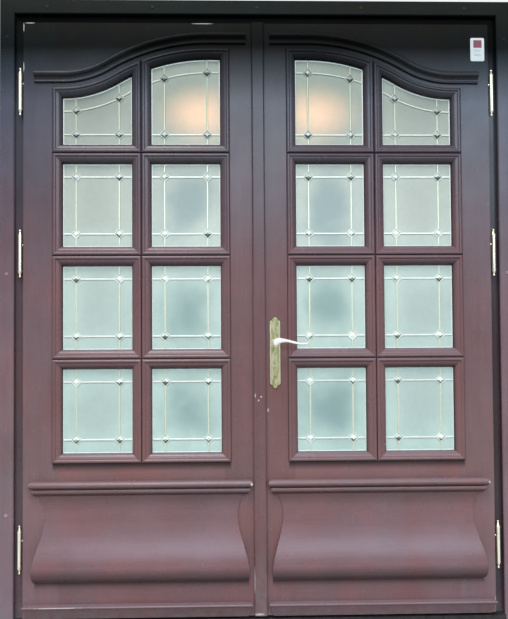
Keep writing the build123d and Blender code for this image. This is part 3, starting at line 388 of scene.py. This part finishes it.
def pressed_brass():
    """The long plates: a bright polished rim round a field that is pressed in waves and gone green in its
    hollows."""
    shader = Shader("pressed_brass")
    swell = shader.noise(shader.place((1.5, 1, 0.5)), 62, 1, 0.5)
    off_middle = shader.calc("ABSOLUTE", shader.calc("SUBTRACT", shader.axis("X"), lock_x))
    field = shader.span(off_middle, *field_reach, smooth=True)
    hollow = shader.calc("MULTIPLY", shader.span(swell, 0.38, 0.68, smooth=True), field)
    colour = shader.blend(hollow, plate_bright, plate_green)
    shader.put(Base_Color=colour, Metallic=0.9, Roughness=shader.span(swell, 0.3, 0.7, 0.10, 0.22))
    shader.relief(shader.calc("MULTIPLY", swell, field), 0.0012, 0.5)
    return shader.material


def came_metal():
    """Soft bright came: the level strips are brighter and the upright ones between them are duller, the edges
    that face down are painted dark as shade, and the cames are painted darker under the eaves as shade."""
    shader = Shader("came_metal")
    bloom = shader.noise(shader.place(), 90, 3, 0.6)
    reach = shader.calc("ABSOLUTE", shader.axis("X"))
    local = shader.calc("MODULO", shader.calc("SUBTRACT", reach, light_start), light_pitch[0])
    from_side = shader.calc("MINIMUM", local, shader.calc("SUBTRACT", light_size[0], local))
    off_strip = shader.calc("ABSOLUTE", shader.calc("SUBTRACT", from_side, came_inset))
    upright = shader.span(off_strip, *strip_reach, 1.0, 0.0)
    clouded = shader.grey(shader.span(bloom, 0.3, 0.7, 0.88, 1.0))
    # Painted darker under the eaves as shade
    bright = shader.blend(1.0, shaded_and_weathered(shader, came_tones), clouded, "MULTIPLY")
    # Painted shade on the edges that face down
    slope = shader.span(shader.facing("Z"), -0.6, 0.3, 0.50, 1.0)
    bright = shader.blend(1.0, bright, shader.grey(slope), "MULTIPLY")
    dull = shader.blend(1.0, bright, (0.92, 0.94, 0.82), "MULTIPLY")
    shader.put(Base_Color=shader.blend(upright, bright, dull), Metallic=0.3, Roughness=0.32)
    shader.relief(bloom, 0.0002, 0.3)
    return shader.material


def frosted_glass():
    """Frosted pale green glass. Each light holds a painted shade cloud in its middle, bluer in the inner
    column and warmer in the outer one; the glass is painted darker under the eaves and brighter low down, and
    the inner top lights hold a painted warm lamp glow low down."""
    shader = Shader("frosted_glass")
    reach = shader.calc("ABSOLUTE", shader.axis("X"))
    start = shader.calc("SUBTRACT", reach, light_start)
    across = shader.calc("SUBTRACT", shader.calc("MODULO", start, light_pitch[0]), light_size[0] / 2)
    rise = shader.calc("MODULO", shader.calc("SUBTRACT", shader.axis("Z"), light_foot), light_pitch[1])
    up = shader.calc("SUBTRACT", rise, light_size[1] / 2)
    across = shader.calc("DIVIDE", across, shade_cloud_reach[0])
    up = shader.calc("DIVIDE", up, shade_cloud_reach[1])
    # A painted shade cloud in the middle of each light
    far = distance(shader, across, up)
    drift = shader.span(shader.noise(shader.place(), 5.5, 2, 0.5), 0.3, 0.7, -0.35, 0.35)
    shade_cloud = shader.span(shader.calc("ADD", far, drift), 1.25, 0.15, 0.0, 1.0, smooth=True)
    outer = shader.calc("GREATER_THAN", start, light_pitch[0] - column_margin)
    # Painted darker under the eaves and brighter low down
    edge = shaded_and_weathered(shader, glass_edge_tones)
    inner_middle = shaded_and_weathered(shader, glass_inner_tones)
    outer_middle = shaded_and_weathered(shader, glass_outer_tones)
    base = shader.blend(shade_cloud, edge, shader.blend(outer, inner_middle, outer_middle))
    # A painted warm lamp glow low in the inner top lights
    glow_across = shader.calc("DIVIDE", shader.calc("SUBTRACT", reach, painted_glow_place[0]), painted_glow_reach[0])
    glow_up = shader.calc("DIVIDE", shader.calc("SUBTRACT", shader.axis("Z"), painted_glow_place[1]), painted_glow_reach[1])
    glow_far = distance(shader, glow_across, glow_up)
    painted_glow = shader.span(glow_far, 1.0, 0.0, 0.0, painted_glow_strength, smooth=True)
    base = shader.blend(painted_glow, base, painted_glow_colour)
    fine = shader.noise(shader.place(), 1400, 2, 0.6)
    mottle = shader.noise(shader.place(), 60, 3, 0.55)
    base = shader.blend(1.0, base, shader.grey(shader.span(mottle, 0.3, 0.7, 0.97, 1.03)), "MULTIPLY")
    shader.put(Base_Color=base, Roughness=0.36, IOR=glass_ior, Transmission_Weight=0.2)
    shader.relief(fine, 0.0001, 0.5)
    return shader.material


def bevelled_glass():
    """Polished glass of the lozenges: facets that face up are painted white as a sky reflection, those that
    face down are painted dark as shade, and the lozenges are painted darker under the eaves."""
    shader = Shader("bevelled_glass")
    haze = shader.noise(shader.place(), 22, 1, 0.5)
    # Painted sky reflection on facets that face up and painted shade on those that face down
    tilt = shader.calc("ADD", shader.facing("Z"), shader.span(haze, 0.35, 0.65, -0.45, 0.65))
    colour = shader.ramp(shader.span(tilt, -1.0, 1.0),
                         [(0.25, (0.10, 0.15, 0.12)), (0.42, (0.42, 0.52, 0.46)), (0.58, (0.95, 1.0, 0.97))])
    # Painted darker under the eaves as shade
    colour = shader.blend(1.0, colour, shaded_and_weathered(shader, lozenge_tones), "MULTIPLY")
    shader.put(Base_Color=colour, Roughness=0.08, IOR=glass_ior)
    shader.relief(shader.noise(shader.place(), 300, 2, 0.5), 0.00008, 0.3)
    return shader.material


def matt(name, dark, light, roughness, scale, bump):
    """A dull surface mottled between two colours."""
    shader = Shader(name)
    fine = shader.noise(shader.place(), scale, 3, 0.6)
    shader.put(Base_Color=shader.ramp(fine, [(0.3, dark), (0.7, light)]), Roughness=roughness)
    shader.relief(fine, bump, 0.4)
    return shader.material


def screw_brass():
    """Brass screws: each domed head has a dark slot across it."""
    shader = Shader("screw_brass")
    bloom = shader.noise(shader.place(), 300, 3, 0.6)
    off_middle = shader.calc("ABSOLUTE", shader.calc("SUBTRACT", shader.axis("X"), lock_x))
    slot = shader.calc("LESS_THAN", off_middle, slot_half)
    bright = shader.ramp(bloom, [(0.3, (0.70, 0.60, 0.32)), (0.7, (0.88, 0.78, 0.48))])
    shader.put(Base_Color=shader.blend(slot, bright, slot_dark), Metallic=1.0, Roughness=0.3)
    shader.relief(shader.calc("SUBTRACT", 1.0, slot), 0.0006, 1.0)
    return shader.material


def sticker_print():
    """White foil with a plain red block near its top and four grey bars below, all without lettering."""
    shader = Shader("sticker")
    across, up = shader.axis("X"), shader.axis("Z")

    def field(left, right, foot, top):
        """A mask that is 1 inside a rectangle."""
        inside = shader.calc("GREATER_THAN", across, left)
        inside = shader.calc("MULTIPLY", inside, shader.calc("LESS_THAN", across, right))
        inside = shader.calc("MULTIPLY", inside, shader.calc("GREATER_THAN", up, foot))
        return shader.calc("MULTIPLY", inside, shader.calc("LESS_THAN", up, top))

    x, z = sticker_place
    left, right, foot, top = sticker_block
    grime = shader.noise(shader.place(), 120, 3, 0.6)
    colour = shader.ramp(grime, list(zip((0.3, 0.7), foil_tones)))
    block = field(x + left, x + right, z + foot, z + top)
    colour = shader.blend(block, colour, block_red)
    for drop, half in sticker_bars:
        bar = field(x - half, x + half, z - drop - bar_height, z - drop)
        colour = shader.blend(shader.calc("MULTIPLY", bar, bar_share), colour, bar_grey)
    shader.put(Base_Color=colour, Roughness=0.35)
    shader.relief(grime, 0.0001, 0.3)
    return shader.material


# The finishes. A worn place is given by its middle (X, Z), half width and half height, in metres
wood_up = timber("timber_upright", "z")
wood_across = timber("timber_level", "x")
# Painted shadow hangs below these boxes, the apron and the glazing beads
shadows = (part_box("left_apron"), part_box("left_glazing_beads"))
middle_rail_wood = timber("middle_rail_timber", "x", tint=(1.14, 1.09, 1.09), grime=shadows)
bottom_rail_wood = timber("bottom_rail_timber", "x", tint=(0.96, 0.97, 0.96), grime=shadows)
# The apron's lighter, bluer tint and its larger dust share are partly a painted sky highlight on its bulge
apron_wood = timber("apron_timber", "x", tint=(1.04, 1.06, 1.10), dust_and_sheen=0.40)
# The beads carry painted shade at their sides and foot
wood_turned = timber("timber_beads", "turn", crease_shade=True)
# The recess shares paint shade into the frame's recess
left_jamb_wood = timber("left_frame_upright", "z", tint=frame_tint, recess=0.50)
right_jamb_wood = timber("right_frame_upright", "z", tint=frame_tint, recess=0.27)
head_wood = timber("frame_level", "x", tint=frame_tint, recess=0.28)
hinge_stile_wood = timber("hinge_stile_worn", "z", tint=(0.99, 1.12, 1.17), grime=shadows, worn=(
    (-0.822, 2.098, 0.0022, 0.020), (-0.822, 1.955, 0.0022, 0.020), (-0.800, 2.1125, 0.022, 0.0018),
    (0.8225, 0.070, 0.003, 0.030)), worn_colour=(0.40, 0.38, 0.38))
meeting_stile_wood = timber("meeting_stile_worn", "z", tint=(0.98, 0.95, 0.93), grime=shadows, worn=(
    (0.029, 0.745, 0.004, 0.009),), worn_colour=(0.40, 0.38, 0.38))
top_rail_wood = timber("top_rail_worn", "x", worn=((-0.195, 2.1128, 0.044, 0.0018),),
                       worn_colour=(0.36, 0.35, 0.34))
board_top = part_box("left_weatherboard")[1][2]
board_wood = timber("weatherboard_worn", "x", worn=((-0.70, board_top - 0.004, 0.105, 0.0016),),
                    worn_colour=(0.55, 0.45, 0.48))
# The strip's darker tint is painted shade
strip_wood = timber("strip_worn", "z", tint=(0.86, 0.83, 0.83), splash=0.34, worn=(
    (-0.016, 0.797, 0.0022, 0.010), (0.005, 0.792, 0.004, 0.004), (-0.004, 0.780, 0.003, 0.005),
    (-0.0215, 0.160, 0.0022, 0.060), (-0.004, 0.042, 0.020, 0.005)), worn_colour=(0.48, 0.44, 0.47))
dado_wood = timber("dado_worn", "x", worn=((-0.030, 0.492, 0.006, 0.006), (0.795, 0.492, 0.004, 0.006)))
# The threshold is painted nearly black: dark timber and painted shade under the leaves
threshold_wood = matt("threshold_timber", (0.012, 0.010, 0.011), (0.045, 0.035, 0.037), 0.7, 60, 0.0006)
caps = timber("fixing_caps", "z", tint=(1.9, 2.3, 2.4))
seal = matt("rubber_seal", (0.012, 0.012, 0.013), (0.03, 0.029, 0.03), 0.7, 500, 0.0002)
silicone = matt("glazing_silicone", (0.62, 0.68, 0.66), (0.82, 0.86, 0.85), 0.4, 200, 0.0002)
plate_brass = pressed_brass()
brass = metal("polished_brass", (0.98, 0.90, 0.55), 0.16, 0.6)
# The hinges' sides are painted dull as shade
hinge_brass = metal("hinge_brass", (1.0, 0.96, 0.86), 0.18, 0.3, metallic=0.85, shaded_sides=True)
lever_brass = metal("lever_brass", (1.0, 0.96, 0.93), 0.24, 0.25, metallic=0.5)
steel = metal("plated_steel", (0.58, 0.57, 0.54), 0.36, 0.4)
cames = came_metal()
frosted = frosted_glass()
facets = bevelled_glass()
screws = screw_brass()

finishes = {
    "left_jamb": left_jamb_wood, "right_jamb": right_jamb_wood, "head": head_wood,
    "threshold": threshold_wood, "frame_seal": seal, "fixing_plugs": caps, "bolt_keepers": brass,
    "hinge_frame_halves": hinge_brass, "hinge_pins": hinge_brass,
    "lock_case": steel, "latch_bolt": steel, "deadbolt": steel, "follower": steel, "spindle": steel,
    "strike_plate": steel, "plate_screws": screws,
    "front_plate": plate_brass, "back_plate": plate_brass,
    "front_lever": lever_brass, "back_lever": lever_brass,
    "cylinder_body": brass, "cylinder_plug": brass,
    "flush_bolt_housings": steel, "top_flush_bolt": steel, "bottom_flush_bolt": steel,
    "meeting_strip": strip_wood,
}
leaf_finishes = {
    "hinge_stile": hinge_stile_wood, "meeting_stile": meeting_stile_wood,
    "muntin": wood_up, "lower_panel": wood_up,
    "top_rail": top_rail_wood, "middle_rail": middle_rail_wood, "bottom_rail": bottom_rail_wood,
    "glazing_bars": wood_across, "glazing_beads": wood_turned, "arch_moulding": wood_across,
    "dado_moulding": dado_wood, "apron": apron_wood, "weatherboard": board_wood,
    "panes": frosted, "cames": cames, "lozenges": facets, "hinge_leaf_halves": hinge_brass,
}
for side in ("left", "right"):
    for name, material in leaf_finishes.items():
        finishes[f"{side}_{name}"] = material
for name, material in finishes.items():
    for place in nodes[name].material_slots:
        place.material = material


def surface(name, points, material, wrap_u=False, wrap_v=False):
    """A mesh from an array of points (u, v, xyz): neighbours make quads, and a wrapped side joins its
    start."""
    count_u, count_v = points.shape[:2]
    cells_u = count_u if wrap_u else count_u - 1
    cells_v = count_v if wrap_v else count_v - 1
    i, j = np.meshgrid(np.arange(cells_u), np.arange(cells_v), indexing="ij")
    this_row, next_row, next_j = i * count_v, (i + 1) % count_u * count_v, (j + 1) % count_v
    faces = np.stack([this_row + j, next_row + j, next_row + next_j, this_row + next_j], axis=-1)
    mesh = bpy.data.meshes.new(name)
    mesh.from_pydata(points.reshape(-1, 3).tolist(), [], faces.reshape(-1, 4).tolist())
    mesh.materials.append(material)
    piece = bpy.data.objects.new(name, mesh)
    scene.collection.objects.link(piece)
    return piece


# Glazing silicone: a thin fillet round every light, where the glass meets the bead


def ogee(u):
    """Height of the arch at a distance u from the meeting line: level to the crown, then the crown's arc
    falls as its centre's height plus the root of its radius squared less the run squared, and past the turn
    the foot's arc levels out in the same way from a centre above."""
    crown_centre = arch_crown[1] - arch_radii[0]
    foot_centre = arch_foot[1] + arch_radii[1]
    over = np.clip(u - arch_crown[0], 0, None)
    falling = crown_centre + np.sqrt(arch_radii[0] ** 2 - over**2)
    under = np.clip(arch_foot[0] - u, 0, None)
    rising = foot_centre - np.sqrt(np.clip(arch_radii[1] ** 2 - under**2, 0, None))
    turn = arch_crown[0] + (arch_foot[0] - arch_crown[0]) * arch_radii[0] / sum(arch_radii)
    return np.where(u < turn, falling, rising)


def fillet_ring(start, foot, arched):
    """A closed fillet inside one light: at each corner of the light's outline the section's points are moved
    inwards along the mitre, and it stands on the glass as a quarter circle."""
    left, right = start, start + light_size[0]
    top_x = np.linspace(left, right, arch_steps) if arched else np.array([left, right])
    top_z = ogee(top_x) if arched else np.full(2, foot + light_size[1])
    path_x, path_z = np.append(top_x, [right, left]), np.append(top_z, [foot, foot])
    path = np.column_stack([path_x, path_z])
    ahead = np.roll(path, -1, axis=0) - path
    ahead /= np.linalg.norm(ahead, axis=1, keepdims=True)
    inward = np.column_stack([ahead[:, 1], -ahead[:, 0]])
    before = np.roll(inward, 1, axis=0)
    mitre = (inward + before) / (1 + np.sum(inward * before, axis=1, keepdims=True))
    angles = np.linspace(0, pi / 2, fillet_steps)
    reach = np.concatenate([[0], fillet_size * np.sin(angles)])
    height = np.concatenate([[0], fillet_size * np.cos(angles)])
    flat = path[:, None, :] + mitre[:, None, :] * reach[None, :, None]
    depth = np.broadcast_to(glass_face - height, flat.shape[:2])
    return np.stack([flat[..., 0], depth, flat[..., 1]], axis=-1)


for side, sign in (("left", -1), ("right", 1)):
    for column in range(columns):
        for row in range(rows):
            start = light_start + column * light_pitch[0]
            ring = fillet_ring(start, light_foot + row * light_pitch[1], row == rows - 1)
            ring = ring * (sign, 1, 1)
            if sign > 0:  # mirroring turned the left ring's faces outwards, so here the section turns round
                ring = ring[:, ::-1]
            fillet = surface(f"{side}_glazing_silicone_{column + 1}_{row + 1}", ring, silicone, True, True)
            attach(fillet, f"{side}_leaf")


# The sticker: a thin sheet whose rows shorten near its ends, so its corners are round, with edges that lift a
# little
sticker_u, sticker_v = np.meshgrid(*(np.linspace(-1, 1, steps) for steps in sticker_steps), indexing="ij")
past_round = np.clip(np.abs(sticker_v) * sticker_half[1] - (sticker_half[1] - sticker_corner), 0, None)
row_half = sticker_half[0] - sticker_corner + np.sqrt(np.clip(sticker_corner**2 - past_round**2, 0, None))
lift = foil_stand + foil_curl * np.maximum(np.abs(sticker_u), np.abs(sticker_v)) ** curl_power
sticker_points = np.stack([sticker_place[0] + sticker_u * row_half, leaf_face - lift,
                           sticker_place[1] + sticker_v * sticker_half[1]], axis=-1)
sticker = surface("sticker", sticker_points, sticker_print())
foil = sticker.modifiers.new("foil", "SOLIDIFY")
foil.thickness = foil_stand
foil.offset = -1
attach(sticker, "right_leaf")


# Floor, world, lamps and camera
floor_half = 9
world_colour = (0.95, 0.98, 1.0)
world_strengths = (0.42, 0.95)  # on the door, and where the camera or the glass sees it
floor_line = np.linspace(-floor_half, floor_half, 3)
floor_x, floor_y = np.meshgrid(floor_line, floor_line, indexing="ij")
floor = surface("floor", np.stack([floor_x, floor_y, np.zeros_like(floor_x)], axis=-1),
                matt("pale_floor", (0.70, 0.71, 0.71), (0.73, 0.74, 0.74), 0.9, 3, 0.0001))

world = bpy.data.worlds.new("studio")
scene.world = world
world.use_nodes = True
tree = world.node_tree
tree.nodes.clear()
rays = tree.nodes.new("ShaderNodeLightPath")
seen = tree.nodes.new("ShaderNodeMath")
seen.operation = "MAXIMUM"
tree.links.new(rays.outputs["Is Camera Ray"], seen.inputs[0])
tree.links.new(rays.outputs["Is Transmission Ray"], seen.inputs[1])
strength = tree.nodes.new("ShaderNodeMapRange")
strength.inputs["To Min"].default_value, strength.inputs["To Max"].default_value = world_strengths
tree.links.new(seen.outputs[0], strength.inputs["Value"])
sky = tree.nodes.new("ShaderNodeBackground")
sky.inputs["Color"].default_value = (*world_colour, 1)
tree.links.new(strength.outputs["Result"], sky.inputs["Strength"])
world_output = tree.nodes.new("ShaderNodeOutputWorld")
tree.links.new(sky.outputs[0], world_output.inputs["Surface"])


def lamp(name, place, aim, width, height, power, colour):
    """A soft rectangular lamp."""
    light = bpy.data.lights.new(name, "AREA")
    light.shape = "RECTANGLE"
    light.size = width
    light.size_y = height
    light.energy = power
    light.color = colour
    holder = bpy.data.objects.new(name, light)
    holder.location = place
    holder.rotation_euler = (Vector(aim) - Vector(place)).to_track_quat("-Z", "Y").to_euler()
    scene.collection.objects.link(holder)


# Each with its place, the point it shines at, its width, height and watts, and its colour
lamp("sky_panel", (0.75, -5.0, 3.15), (0.75, 0, 1.1), 5.1, 1.9, 170, (0.70, 0.86, 1.0))
lamp("key", (-0.9, -2.6, 5.2), (0, 0, 0.8), 2.0, 2.0, 165, (1.0, 0.97, 0.94))
lamp("back", (0.5, 4.2, 3.2), (0, 0, 1.1), 3.0, 3.0, 110, (1.0, 1.0, 1.0))

view = bpy.data.cameras.new("camera")
view.lens = camera_lens
view.shift_x, view.shift_y = camera_shift
camera = bpy.data.objects.new("camera", view)
turn = Vector(camera_turn)
camera.matrix_world = (Matrix.Translation(camera_place) @ Matrix.Rotation(turn.length, 4, turn.normalized())
                       @ Matrix.Rotation(pi / 2, 4, "X"))
scene.collection.objects.link(camera)
scene.camera = camera
scene.view_settings.view_transform = "Standard"
